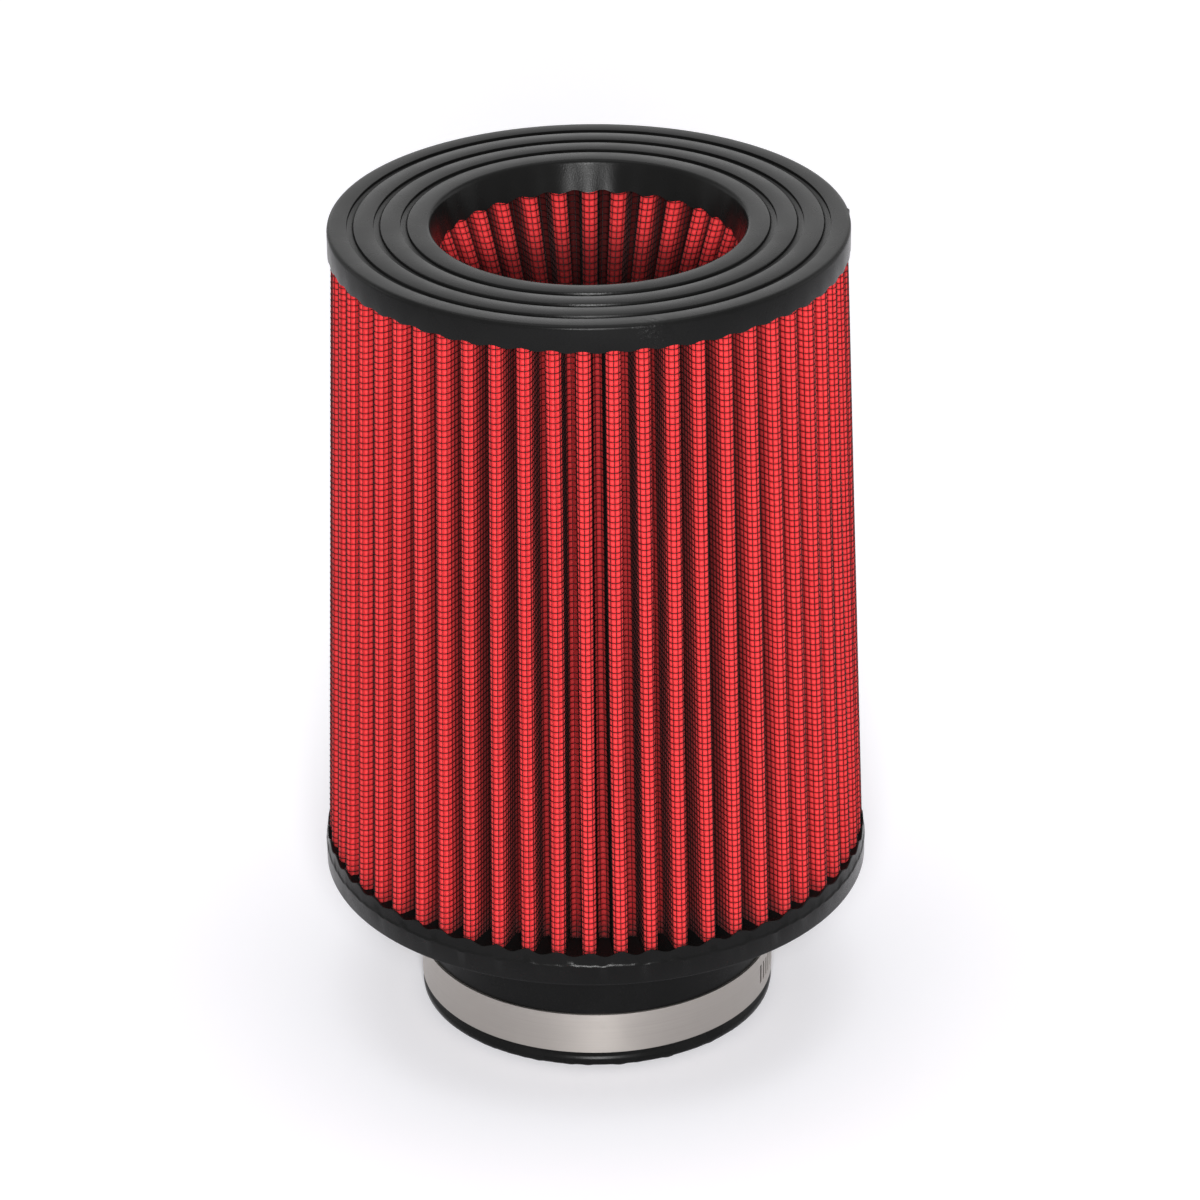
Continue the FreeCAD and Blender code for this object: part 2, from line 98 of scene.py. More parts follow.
base_cap = turned("base_cap_moulding", base_section, PLEATS * STEPS_A_PLEAT)
for vertex in base_cap.data.vertices:
    x, y, z = vertex.co
    around, radius = math.atan2(y, x), math.hypot(x, y)
    wave = math.cos(PLEATS * (around - FRONT_TURN))
    on_lip = z > 0.0532 and radius > LIP_INSIDE
    on_resin = z > 0.0525 and 0.0615 < radius < LIP_INSIDE
    on_bevel = 0.0503 < z < 0.0512 and radius > LIP_OUTSIDE
    on_trim = z < 0.0006 and radius > 0.0505
    if on_lip:
        crown = min(max((z - LIP_FOOT) / LIP_HEIGHT, 0.0), 1.0)
        outward = (LIP_OUTSIDE - radius) * 0.25 * (1.0 - wave)
        vertex.co.x += outward * math.cos(around)
        vertex.co.y += outward * math.sin(around)
        vertex.co.z += (LIP_WAVE * wave - LIP_DIP) * crown
        vertex.co.z += 0.00012 * math.sin(17 * around + 1.0) + 0.00008 * math.sin(71 * around)
    if on_resin:
        vertex.co.z += POOL_WAVE * wave
    if on_bevel:
        ragged = math.sin(37 * around) + math.sin(83 * around + 1.3) + math.sin(131 * around)
        vertex.co.z += BEVEL_RAGGED * ragged
    if on_trim:
        ragged = math.sin(23 * around) + math.sin(41 * around + 2.0) + math.sin(67 * around + 0.7)
        vertex.co.z += TRIM_LIFT + TRIM_RAGGED * ragged
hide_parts("base_cap")
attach(base_cap, "filter")


def moulded_skin():
    """Node group: colour, roughness and height of cast polyurethane, with fine grain and faint flow marks."""
    group = bpy.data.node_groups.new("moulded_skin", "ShaderNodeTree")
    for name in ("Dark", "Pale"):
        group.interface.new_socket(name=name, in_out="INPUT", socket_type="NodeSocketColor")
    group.interface.new_socket(name="Color", in_out="OUTPUT", socket_type="NodeSocketColor")
    for name in ("Roughness", "Height"):
        group.interface.new_socket(name=name, in_out="OUTPUT", socket_type="NodeSocketFloat")
    nodes, links = group.nodes, group.links
    inlet, outlet = nodes.new("NodeGroupInput"), nodes.new("NodeGroupOutput")
    where = nodes.new("ShaderNodeTexCoord")
    flow = nodes.new("ShaderNodeTexNoise")
    flow.inputs["Scale"].default_value = 55.0
    flow.inputs["Detail"].default_value = 5.0
    flow.inputs["Distortion"].default_value = 0.6
    grain = nodes.new("ShaderNodeTexNoise")
    grain.inputs["Scale"].default_value = 2600.0
    grain.inputs["Detail"].default_value = 3.0
    pores = nodes.new("ShaderNodeTexVoronoi")
    pores.inputs["Scale"].default_value = 420.0
    for texture in (flow, grain, pores):
        links.new(where.outputs["Object"], texture.inputs["Vector"])
    shade = nodes.new("ShaderNodeMix")
    shade.data_type = "RGBA"
    links.new(flow.outputs["Fac"], shade.inputs["Factor"])
    links.new(inlet.outputs["Dark"], shade.inputs[6])
    links.new(inlet.outputs["Pale"], shade.inputs[7])
    links.new(shade.outputs[2], outlet.inputs["Color"])
    rough = nodes.new("ShaderNodeMapRange")
    rough.inputs["From Min"].default_value = 0.3
    rough.inputs["From Max"].default_value = 0.7
    rough.inputs["To Min"].default_value = 0.2
    rough.inputs["To Max"].default_value = 0.34
    links.new(flow.outputs["Fac"], rough.inputs["Value"])
    links.new(rough.outputs["Result"], outlet.inputs["Roughness"])
    pit = nodes.new("ShaderNodeMapRange")
    pit.inputs["From Min"].default_value = 0.0
    pit.inputs["From Max"].default_value = 0.12
    pit.inputs["To Min"].default_value = -0.6
    pit.inputs["To Max"].default_value = 0.0
    links.new(pores.outputs["Distance"], pit.inputs["Value"])
    total = nodes.new("ShaderNodeMath")
    total.operation = "ADD"
    links.new(grain.outputs["Fac"], total.inputs[0])
    links.new(pit.outputs["Result"], total.inputs[1])
    links.new(total.outputs["Value"], outlet.inputs["Height"])
    return group


skin_group = moulded_skin()


def moulded_black(name, dark, pale, bump):
    """A black polyurethane finish between a dark and a pale black, with the mould's grain."""
    material = bpy.data.materials.new(name)
    material.use_nodes = True
    nodes, links = material.node_tree.nodes, material.node_tree.links
    bsdf = nodes["Principled BSDF"]
    bsdf.inputs["Specular IOR Level"].default_value = 0.08
    skin = nodes.new("ShaderNodeGroup")
    skin.node_tree = skin_group
    skin.inputs["Dark"].default_value = (*dark, 1)
    skin.inputs["Pale"].default_value = (*pale, 1)
    raised = nodes.new("ShaderNodeBump")
    raised.inputs["Strength"].default_value = bump
    raised.inputs["Distance"].default_value = 0.0001
    links.new(skin.outputs["Color"], bsdf.inputs["Base Color"])
    links.new(skin.outputs["Roughness"], bsdf.inputs["Roughness"])
    links.new(skin.outputs["Height"], raised.inputs["Height"])
    links.new(raised.outputs["Normal"], bsdf.inputs["Normal"])
    return material


base_black = moulded_black("base_polyurethane", DEEP_BLACK, PALE_BLACK, MOULD_GRAIN)
base_cap.data.materials.append(base_black)

# Outer gauze: oiled red cotton, pleated with its wire screen and closed into a cone, its ends cast into the
# caps. The pleats are round at the crest, and no two stand quite alike. Sizes are in millimetres.
FOOT, HEAD = 52.0, 241.0
CREST_LOW, CREST_HIGH = 78.85, 72.3
DEPTH = 11.5
HALF = 2.3
GAUZE_FRONT, GAUZE_BACK = 0.2, 1.45
WEFT, WARP, THREAD = 1.8143, 1.57, 0.42
FIRST_HOOP = FOOT + 1.0
CREST_POINTS = 9
VALLEY_ROUND = ((1.0, -1.0), (0.3, -0.72), (0.0, 0.0), (0.3, 0.72), (1.0, 1.0))
# Painted shade in the outer gauze's folds: depth in the fold and share of colour kept, lighter again at the
# valley bottoms.
OUTER_SHADES = ((0.2, 0.92), (0.38, 0.44), (0.6, 0.21), (0.86, 0.18), (0.97, 0.48))
luck = np.random.default_rng(7)
pleat = np.arange(PLEATS)
pitch = 2 * math.pi / PLEATS
turn_low = luck.normal(0, 0.0032, PLEATS)
turn_high = turn_low * 0.5 + luck.normal(0, 0.0026, PLEATS)
sunk = luck.uniform(0.0, 0.35, PLEATS)
girth = luck.uniform(-0.16, 0.0, PLEATS)
bow = luck.normal(0, 0.0016, PLEATS)


def round_axis(rows, height):
    """Points of a fold in order round the axis, from each row's way out, way sideways and direction."""
    points = []
    for out, side, a in rows:
        points.append(np.stack([out * np.cos(a) - side * np.sin(a), out * np.sin(a) + side * np.cos(a)], -1))
    flat = np.stack(points, 1).reshape(-1, 2)
    return np.column_stack([flat, np.full(len(flat), height)])


def outer_fold(height, behind):
    """The outer folded sheet at a height, some distance behind its dirty face."""
    up = (height - FOOT) / (HEAD - FOOT)
    crest = CREST_LOW + (CREST_HIGH - CREST_LOW) * up - sunk
    half = HALF + girth
    swing = turn_low + (turn_high - turn_low) * up + bow * math.sin(math.pi * up)
    angle = FRONT_TURN + pitch * pleat + swing
    after = np.roll(angle, -1)
    after[-1] += 2 * math.pi
    between = (angle + after) / 2
    valley = CREST_LOW + (CREST_HIGH - CREST_LOW) * up - DEPTH
    gap = valley * np.sin((after - angle) / 2) - (half + np.roll(half, -1)) / 2
    round_off = half - behind
    rows = []
    for t in np.linspace(-math.pi / 2, math.pi / 2, CREST_POINTS):
        rows.append((crest - half + round_off * math.cos(t), round_off * math.sin(t), angle))
    wide = gap + behind
    for out, across in VALLEY_ROUND:
        rows.append((valley - behind + wide * out, wide * across, between))
    return round_axis(rows, height)


def new_mesh(name, points, quads, uv=None):
    """A smooth mesh object from millimetre points and four-sided faces, with a UV for each face corner."""
    data = bpy.data.meshes.new(name)
    data.vertices.add(len(points))
    data.vertices.foreach_set("co", (np.asarray(points) * 0.001).astype(np.float32).ravel())
    quads = np.asarray(quads, dtype=np.int32)
    data.loops.add(quads.size)
    data.loops.foreach_set("vertex_index", quads.ravel())
    data.polygons.add(len(quads))
    data.polygons.foreach_set("loop_start", np.arange(0, quads.size, 4, dtype=np.int32))
    data.polygons.foreach_set("use_smooth", np.full(len(quads), True))
    if uv is not None:
        layer = data.uv_layers.new(name="laid_flat")
        layer.data.foreach_set("uv", np.asarray(uv, dtype=np.float32).ravel())
    data.update(calc_edges=True)
    data.validate()
    piece = bpy.data.objects.new(name, data)
    bpy.context.collection.objects.link(piece)
    return piece


def folded_sheet(name, fold, levels, front, back):
    """A closed sheet between two faces of a fold, with its flat size as UV and its depth in the fold."""
    skins = [[fold(height, behind) for height in levels] for behind in (front, back)]
    count, rows = len(skins[0][0]), len(levels)
    middle = skins[0][rows // 2]
    steps = np.linalg.norm(np.roll(middle, -1, 0) - middle, axis=1)
    along = np.concatenate([[0.0], np.cumsum(steps)])
    points = np.concatenate(skins[0] + skins[1])
    i = np.arange(count)
    j = (i + 1) % count
    quads, uv = [], []
    for side in (0, 1):
        start = side * rows * count
        for row in range(rows - 1):
            low, high = start + row * count, start + (row + 1) * count
            face = np.stack([low + i, low + j, high + j, high + i], 1)
            ends = ((along[:-1], row), (along[1:], row), (along[1:], row + 1), (along[:-1], row + 1))
            mark = np.stack([np.stack([u, np.full(count, levels[r])], 1) for u, r in ends], 1)
            quads.append(face if side == 0 else face[:, ::-1])
            uv.append(mark if side == 0 else mark[:, ::-1])
    for row, flip in ((0, True), (rows - 1, False)):
        a, b = row * count, rows * count + row * count
        face = np.stack([a + i, a + j, b + j, b + i], 1)
        quads.append(face[:, ::-1] if flip else face)
        uv.append(np.zeros((count, 4, 2)) + along[:-1, None, None])
    piece = new_mesh(name, points, np.concatenate(quads), np.concatenate(uv) * 0.001)
    midway = [fold(height, (front + back) / 2) for height in levels]
    lengths = [np.linalg.norm(np.roll(ring, -1, 0) - ring, axis=1).sum() for ring in midway]
    slants = [np.linalg.norm(b - a, axis=1).mean() for a, b in zip(midway, midway[1:])]
    area = sum((a + b) / 2 * slant for a, b, slant in zip(lengths, lengths[1:], slants))
    flat = (max(lengths) * 0.001, sum(slants) * 0.001)
    reach = np.linalg.norm(points[:, :2], axis=1).reshape(-1, count)
    pleat_points = CREST_POINTS + len(VALLEY_ROUND)
    crest_middle, valley_middle = CREST_POINTS // 2, CREST_POINTS + len(VALLEY_ROUND) // 2
    shallow = reach[:, crest_middle::pleat_points].mean(1, keepdims=True)
    deepest = reach[:, valley_middle::pleat_points].mean(1, keepdims=True)
    deep = np.clip((reach - shallow) / (deepest - shallow), 0, 1)
    # The depth in the fold is the mask that the gauze's painted shade reads.
    mark = piece.data.attributes.new("fold_depth", "FLOAT", "POINT")
    mark.data.foreach_set("value", deep.astype(np.float32).ravel())
    return piece, flat, area * 1e-6


outer_gauze, outer_flat, outer_area = folded_sheet(
    "outer_gauze", outer_fold, np.linspace(FOOT, HEAD, 17), GAUZE_FRONT, GAUZE_BACK
)
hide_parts("outer_media")
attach(outer_gauze, "filter")


def gauze_weave():
    """Node group: colour and height of oiled red cotton that swells in every mesh of the screen, with painted
    shade towards the wires and a painted highlight in each mesh's middle.

    The height of the lowest wire that goes round and the step to the next come in, in metres.
    """
    group = bpy.data.node_groups.new("gauze_weave", "ShaderNodeTree")
    for name in ("First Wire", "Wire Step"):
        group.interface.new_socket(name=name, in_out="INPUT", socket_type="NodeSocketFloat")
    group.interface.new_socket(name="Color", in_out="OUTPUT", socket_type="NodeSocketColor")
    group.interface.new_socket(name="Height", in_out="OUTPUT", socket_type="NodeSocketFloat")
    nodes, links = group.nodes, group.links
    inlet, outlet = nodes.new("NodeGroupInput"), nodes.new("NodeGroupOutput")
    laid = nodes.new("ShaderNodeUVMap")
    laid.uv_map = "laid_flat"
    split = nodes.new("ShaderNodeSeparateXYZ")
    links.new(laid.outputs["UV"], split.inputs["Vector"])
    across, upward = split.outputs["X"], split.outputs["Y"]

    def math_node(kind, first, second=None):
        node = nodes.new("ShaderNodeMath")
        node.operation = kind
        for socket, value in zip(node.inputs, (first, second)):
            if value is None:
                continue
            if isinstance(value, (int, float)):
                socket.default_value = value
            else:
                links.new(value, socket)
        return node.outputs["Value"]

    def swell(way, start, period):
        turns = math_node("DIVIDE", math_node("SUBTRACT", way, start), period)
        return math_node("ABSOLUTE", math_node("SINE", math_node("MULTIPLY", turns, math.pi)))

    meshes_up = swell(upward, inlet.outputs["First Wire"], inlet.outputs["Wire Step"])
    # The swell is the bump's height, and in the colour it is painted shade towards the wires and a painted
    # highlight between them.
    swell_and_shade = math_node("MULTIPLY", swell(across, 0.0, WARP * 0.001), meshes_up)
    thread = math_node("MULTIPLY", swell(across, 0.0, THREAD * 0.001), swell(upward, 0.0, THREAD * 0.001))
    where = nodes.new("ShaderNodeTexCoord")
    lint = nodes.new("ShaderNodeTexNoise")
    lint.inputs["Scale"].default_value = 900.0
    lint.inputs["Detail"].default_value = 4.0
    links.new(where.outputs["Object"], lint.inputs["Vector"])
    oil = nodes.new("ShaderNodeTexNoise")
    oil.inputs["Scale"].default_value = 38.0
    oil.inputs["Detail"].default_value = 3.0
    links.new(where.outputs["Object"], oil.inputs["Vector"])
    # Colour and height: the swell, which paints shade and highlight, with the weave's threads and lint.
    lit = math_node("ADD", math_node("MULTIPLY", swell_and_shade, 0.5), math_node("MULTIPLY", thread, 0.2))
    lit = math_node("ADD", lit, math_node("MULTIPLY", lint.outputs["Fac"], 0.35))
    ramp = nodes.new("ShaderNodeValToRGB")
    ramp.color_ramp.elements[0].position = 0.12
    ramp.color_ramp.elements[0].color = (0.36, 0.009, 0.013, 1)
    ramp.color_ramp.elements[1].position = 0.95
    ramp.color_ramp.elements[1].color = (0.88, 0.078, 0.08, 1)
    ramp.color_ramp.elements.new(0.5).color = (0.71, 0.033, 0.037, 1)
    links.new(lit, ramp.inputs["Fac"])
    tone = nodes.new("ShaderNodeMapRange")
    tone.inputs["From Min"].default_value = 0.25
    tone.inputs["From Max"].default_value = 0.75
    tone.inputs["To Min"].default_value = 0.85
    tone.inputs["To Max"].default_value = 1.1
    links.new(oil.outputs["Fac"], tone.inputs["Value"])
    stain = nodes.new("ShaderNodeMix")
    stain.data_type = "RGBA"
    stain.blend_type = "MULTIPLY"
    stain.inputs["Factor"].default_value = 0.5
    links.new(ramp.outputs["Color"], stain.inputs[6])
    links.new(tone.outputs["Result"], stain.inputs[7])
    links.new(stain.outputs[2], outlet.inputs["Color"])
    links.new(lit, outlet.inputs["Height"])
    return group


weave_group = gauze_weave()


def red_cotton(name, fold_shades, first_wire, wire_step):
    """Oiled red gauze, with painted shade in its folds. fold_shades gives the share of its colour that it keeps
    at each depth of the fold.
    """
    material = bpy.data.materials.new(name)
    material.use_nodes = True
    nodes, links = material.node_tree.nodes, material.node_tree.links
    bsdf = nodes["Principled BSDF"]
    bsdf.inputs["Roughness"].default_value = 0.82
    bsdf.inputs["Specular IOR Level"].default_value = 0.12
    bsdf.inputs["Sheen Weight"].default_value = 0.04
    bsdf.inputs["Sheen Roughness"].default_value = 0.5
    bsdf.inputs["Sheen Tint"].default_value = (1.0, 0.55, 0.55, 1)
    weave = nodes.new("ShaderNodeGroup")
    weave.node_tree = weave_group
    weave.inputs["First Wire"].default_value = first_wire * 0.001
    weave.inputs["Wire Step"].default_value = wire_step * 0.001
    fold = nodes.new("ShaderNodeAttribute")
    fold.attribute_name = "fold_depth"
    # Painted shade: the colour keeps less of itself deeper in the fold, by the shares in fold_shades.
    painted_fold_shade = nodes.new("ShaderNodeValToRGB")
    painted_fold_shade.color_ramp.elements[0].color = (1, 1, 1, 1)
    painted_fold_shade.color_ramp.elements.remove(painted_fold_shade.color_ramp.elements[1])
    for depth, share in fold_shades:
        painted_fold_shade.color_ramp.elements.new(depth).color = (share, share, share, 1)
    links.new(fold.outputs["Fac"], painted_fold_shade.inputs["Fac"])
    dark = nodes.new("ShaderNodeMix")
    dark.data_type = "RGBA"
    dark.blend_type = "MULTIPLY"
    dark.inputs["Factor"].default_value = 1.0
    links.new(weave.outputs["Color"], dark.inputs[6])
    links.new(painted_fold_shade.outputs["Color"], dark.inputs[7])
    links.new(dark.outputs[2], bsdf.inputs["Base Color"])
    raised = nodes.new("ShaderNodeBump")
    raised.inputs["Strength"].default_value = 0.7
    raised.inputs["Distance"].default_value = 0.0003
    links.new(weave.outputs["Height"], raised.inputs["Height"])
    links.new(raised.outputs["Normal"], bsdf.inputs["Normal"])
    return material


outer_gauze.data.materials.append(red_cotton("oiled_red_gauze", OUTER_SHADES, FIRST_HOOP, WEFT))

# Outer screen: black epoxy-coated wire, 14 wires to the inch, folded over the gauze to hold its pleats.
# The wires that go round and the wires that stand are separate pieces, which cross at one depth.
WIRE = 0.165
WIRE_END = 0.4
WIRE_SIDES = [(math.cos(t), math.sin(t)) for t in (0.0, 2 * math.pi / 3, 4 * math.pi / 3)]


def wire_rings(name, fold, heights):
    """Three-sided wires that follow a fold round the axis at each height."""
    points, quads = [], []
    for height in heights:
        centre = fold(height, WIRE)
        out = fold(height, 0.0) - fold(height, 2 * WIRE)
        out /= np.linalg.norm(out, axis=1)[:, None]
        count = len(centre)
        start = sum(len(p) for p in points)
        i = np.arange(count)
        j = (i + 1) % count
        for off, lift in WIRE_SIDES:
            ring = centre + out * (off * WIRE)
            ring[:, 2] += lift * WIRE
            points.append(ring)
        for k in range(3):
            a, b = start + k * count, start + ((k + 1) % 3) * count
            quads.append(np.stack([a + i, a + j, b + j, b + i], 1))
    return new_mesh(name, np.concatenate(points), np.concatenate(quads))


def standing_wires(name, fold, heights, spacing):
    """Three-sided wires that run from foot to head of a fold, a spacing apart along it, with pointed ends."""
    middle = fold(heights[len(heights) // 2], WIRE)
    steps = np.linalg.norm(np.roll(middle, -1, 0) - middle, axis=1)
    along = np.concatenate([[0.0], np.cumsum(steps)])
    places = np.arange(0.0, along[-1] - spacing / 2, spacing)
    segment = np.searchsorted(along, places, side="right") - 1
    share = ((places - along[segment]) / steps[segment])[:, None]
    levels = []
    for height in heights:
        thick = 0.0 if height in (heights[0], heights[-1]) else 0.85 * WIRE
        centre = fold(height, WIRE)
        out = fold(height, 0.0) - fold(height, 2 * WIRE)
        after = np.roll(centre, -1, 0)
        where = centre[segment] * (1 - share) + after[segment] * share
        way = out[segment] * (1 - share) + np.roll(out, -1, 0)[segment] * share
        way /= np.linalg.norm(way, axis=1)[:, None]
        across = np.cross(way, (0.0, 0.0, 1.0))
        levels.append([where + way * (off * thick) + across * (side * thick) for off, side in WIRE_SIDES])
    count = len(places)
    points = np.concatenate([ring for level in levels for ring in level])
    quads = []
    i = np.arange(count)
    for row in range(len(heights) - 1):
        for k in range(3):
            a, b = row * 3 + k, row * 3 + (k + 1) % 3
            corners = (a, b, b + 3, a + 3)
            quads.append(np.stack([corner * count + i for corner in corners], 1))
    piece = new_mesh(name, points, np.concatenate(quads))
    bpy.ops.object.select_all(action="DESELECT")
    bpy.context.view_layer.objects.active = piece
    piece.select_set(True)
    bpy.ops.object.mode_set(mode="EDIT")
    bpy.ops.mesh.select_all(action="SELECT")
    bpy.ops.mesh.remove_doubles(threshold=1e-7)
    bpy.ops.mesh.normals_make_consistent(inside=False)
    bpy.ops.object.mode_set(mode="OBJECT")
    return piece


def coated_wire(name):
    """Black epoxy on wire: near black, with a soft gloss that varies along it."""
    material = bpy.data.materials.new(name)
    material.use_nodes = True
    nodes, links = material.node_tree.nodes, material.node_tree.links
    bsdf = nodes["Principled BSDF"]
    bsdf.inputs["Specular IOR Level"].default_value = 0.12
    where = nodes.new("ShaderNodeTexCoord")
    patch = nodes.new("ShaderNodeTexNoise")
    patch.inputs["Scale"].default_value = 700.0
    links.new(where.outputs["Object"], patch.inputs["Vector"])
    ramp = nodes.new("ShaderNodeValToRGB")
    ramp.color_ramp.elements[0].color = (0.004, 0.003, 0.003, 1)
    ramp.color_ramp.elements[1].color = (0.012, 0.008, 0.008, 1)
    links.new(patch.outputs["Fac"], ramp.inputs["Fac"])
    links.new(ramp.outputs["Color"], bsdf.inputs["Base Color"])
    gloss = nodes.new("ShaderNodeMapRange")
    gloss.inputs["To Min"].default_value = 0.28
    gloss.inputs["To Max"].default_value = 0.5
    links.new(patch.outputs["Fac"], gloss.inputs["Value"])
    links.new(gloss.outputs["Result"], bsdf.inputs["Roughness"])
    return material


black_wire = coated_wire("black_coated_wire")
hoops = FIRST_HOOP + WEFT * np.arange(int((HEAD - FIRST_HOOP) / WEFT) + 1)
hoops = hoops[hoops < HEAD]
outer_wires = []
for part, band in zip(("low", "middle", "high"), np.array_split(hoops, 3)):
    outer_wires.append(wire_rings(f"outer_screen_hoops_{part}", outer_fold, band))
upright_levels = [FOOT, *np.linspace(FOOT + WIRE_END, HEAD - WIRE_END, 9), HEAD]
outer_wires.append(standing_wires("outer_screen_uprights", outer_fold, upright_levels, WARP))
for piece in outer_wires:
    piece.data.materials.append(black_wire)
    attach(piece, "filter")
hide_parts("outer_screen")

# Cone gauze: the same oiled red cotton folded into an inverted cone, its crests towards the axis.
# It hangs from the top cap's throat and narrows to the plug, and painted shade deepens down the cone and in its
# folds.
CONE_FOOT = 175.0
CONE_PLEATS = 32
CONE_LOW, CONE_HIGH = 22.0, 43.8
CONE_DEPTH_LOW, CONE_DEPTH_HIGH = 7.0, 9.5
CONE_GAP_LOW, CONE_GAP_HIGH = 0.6, 4.0
CONE_GAUZE_BACK = 1.4
CONE_FIRST_HOOP, CONE_WEFT = CONE_FOOT + 3.5, WEFT * 0.95
# Painted shade in the cone's folds, and painted shade down the cone from under the throat: where it starts and
# over how far, in millimetres, and how deep.
CONE_SHADES = ((0.2, 0.88), (0.38, 0.36), (0.6, 0.12), (0.86, 0.06), (0.97, 0.06))
CONE_SHADE_FROM, CONE_SHADE_OVER, CONE_SHADE_DEPTH = 7.0, 16.0, 0.48
cone_pleat = np.arange(CONE_PLEATS)
cone_swing = luck.normal(0, 0.008, CONE_PLEATS)
cone_sunk = luck.uniform(0.0, 0.4, CONE_PLEATS)


def cone_fold(height, behind):
    """The cone's folded sheet at a height, some distance behind its dirty face."""
    up = (height - CONE_FOOT) / (HEAD - CONE_FOOT)
    crest = CONE_LOW + (CONE_HIGH - CONE_LOW) * up + cone_sunk * up
    deep = CONE_DEPTH_LOW + (CONE_DEPTH_HIGH - CONE_DEPTH_LOW) * up
    gap = (CONE_GAP_LOW + (CONE_GAP_HIGH - CONE_GAP_LOW) * up) / 2
    angle = 2 * math.pi * cone_pleat / CONE_PLEATS + cone_swing * up
    after = np.roll(angle, -1)
    after[-1] += 2 * math.pi
    between = (angle + after) / 2
    lean = math.pi / CONE_PLEATS
    half = crest * math.tan(lean) - gap / math.cos(lean)
    half = half + half * math.tan(lean)
    rows = []
    for t in np.linspace(-math.pi / 2, math.pi / 2, CREST_POINTS):
        rows.append((crest + half - (half - behind) * math.cos(t), (half - behind) * math.sin(t), angle))
    valley = (CONE_LOW + (CONE_HIGH - CONE_LOW) * up) + deep + behind
    wide = gap + behind
    for inward, across in VALLEY_ROUND:
        rows.append((valley - wide * inward, np.full(CONE_PLEATS, wide * across), between))
    return round_axis(rows, height)


cone_gauze, cone_flat, cone_area = folded_sheet(
    "cone_gauze", cone_fold, np.linspace(CONE_FOOT, HEAD, 9), GAUZE_FRONT, CONE_GAUZE_BACK
)
cone_gauze.data.flip_normals()
# Painted shade: lower down the cone, the gauze takes at least a set depth of fold shade.
for point, vertex in zip(cone_gauze.data.attributes["fold_depth"].data, cone_gauze.data.vertices):
    below = (HEAD - CONE_SHADE_FROM - vertex.co.z * 1000) / CONE_SHADE_OVER
    point.value = max(point.value, CONE_SHADE_DEPTH * min(max(below, 0.0), 1.0))
cone_cotton = red_cotton("oiled_red_cone_gauze", CONE_SHADES, CONE_FIRST_HOOP, CONE_WEFT)
cone_gauze.data.materials.append(cone_cotton)
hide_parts("cone_media")
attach(cone_gauze, "filter")

# Cone screen: the same coated wire on the cone's inner, dirty side.
# It carries on the outer screen's mesh and is folded with the gauze.
cone_hoops = CONE_FIRST_HOOP + CONE_WEFT * np.arange(36)
cone_levels = [CONE_FOOT, *np.linspace(CONE_FOOT + WIRE_END, HEAD - WIRE_END, 5), HEAD]
cone_wires = [
    wire_rings("cone_screen_hoops", cone_fold, cone_hoops[cone_hoops < HEAD]),
    standing_wires("cone_screen_uprights", cone_fold, cone_levels, WARP),
]
cone_wires[0].data.flip_normals()
for piece in cone_wires:
    piece.data.materials.append(black_wire)
    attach(piece, "filter")
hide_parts("cone_screen")

# Cone plug: a shallow polyurethane cup that closes the narrow end of the cone, with a soft-edged boss inside.
# It is cast on the feet of the cone's pleats, in the same black as the base.
plug_section = [
    (0.0, 171.5), (32.6, 171.5), (33.25, 172.1), (33.25, 177.5), (32.8, 178.0), (31.75, 178.0),
    (31.75, 175.0), (21.85, 175.0), (21.85, 177.4), (21.3, 178.0), (6.0, 177.9), (0.0, 177.8),
]
cone_plug = turned("cone_plug_moulding", plug_section, 96)
cone_plug.data.materials.append(base_black)
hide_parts("cone_plug")
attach(cone_plug, "filter")

# Top cap: a satin polyurethane ring with three round-bottomed grooves and a tapered throat.
# Its skirts are cast over the pleat ends, so their edges wave with the crests. It has a nib of flash at its
# right and a scuffed patch on its front wall.
GROOVES = (66.5, 59.0, 51.5)
SKIRT_WAVE, SKIRT_UNEVEN, THROAT_WAVE = 0.00035, 0.00012, 0.0005
NIB_TURN, NIB_HALF, NIB_OUT = 0.1, 0.008, 0.0004
CAP_PALE = (0.008, 0.008, 0.0078)
SCUFF_CENTRE, SCUFF_EDGE, SCUFF_CORE = (0.0165, -0.0711, 0.2405), 0.0065, 0.001
cap_section = [
    (45.4, 245.0), (44.75, 244.85), (44.35, 244.4), (44.15, 243.8), (41.62, 236.5), (42.1, 236.5),
    (43.65, 241.0), (72.5, 241.0), (72.5, 237.5), (72.95, 237.5), (73.02, 237.8), (73.02, 243.8),
    (72.9, 244.4), (72.6, 244.75), (72.1, 244.95), (71.6, 245.0),
]
groove_section = [
    (1.2, 245.0), (1.0, 244.93), (0.96, 244.6), (0.92, 244.1), (0.4, 243.8),
    (-0.4, 243.8), (-0.8, 244.1), (-0.9, 244.6), (-1.05, 244.9), (-1.35, 245.0),
]
for middle in GROOVES:
    cap_section += [(middle + out, height) for out, height in groove_section]
top_cap = turned("top_cap_moulding", cap_section, PLEATS * STEPS_A_PLEAT)
for vertex in top_cap.data.vertices:
    x, y, z = vertex.co
    around, radius = math.atan2(y, x), math.hypot(x, y)
    if radius > 0.072 and z < 0.238:
        wave = math.cos(PLEATS * (around - FRONT_TURN))
        vertex.co.z += SKIRT_WAVE * wave + SKIRT_UNEVEN * math.sin(13 * around)
    if radius > 0.0725 and 0.2425 < z < 0.2445 and abs(around - NIB_TURN) < NIB_HALF:
        vertex.co.x += NIB_OUT * math.cos(around)
        vertex.co.y += NIB_OUT * math.sin(around)
    if radius < 0.0425 and z < 0.237:
        vertex.co.z += THROAT_WAVE * math.cos(CONE_PLEATS * around + math.pi)


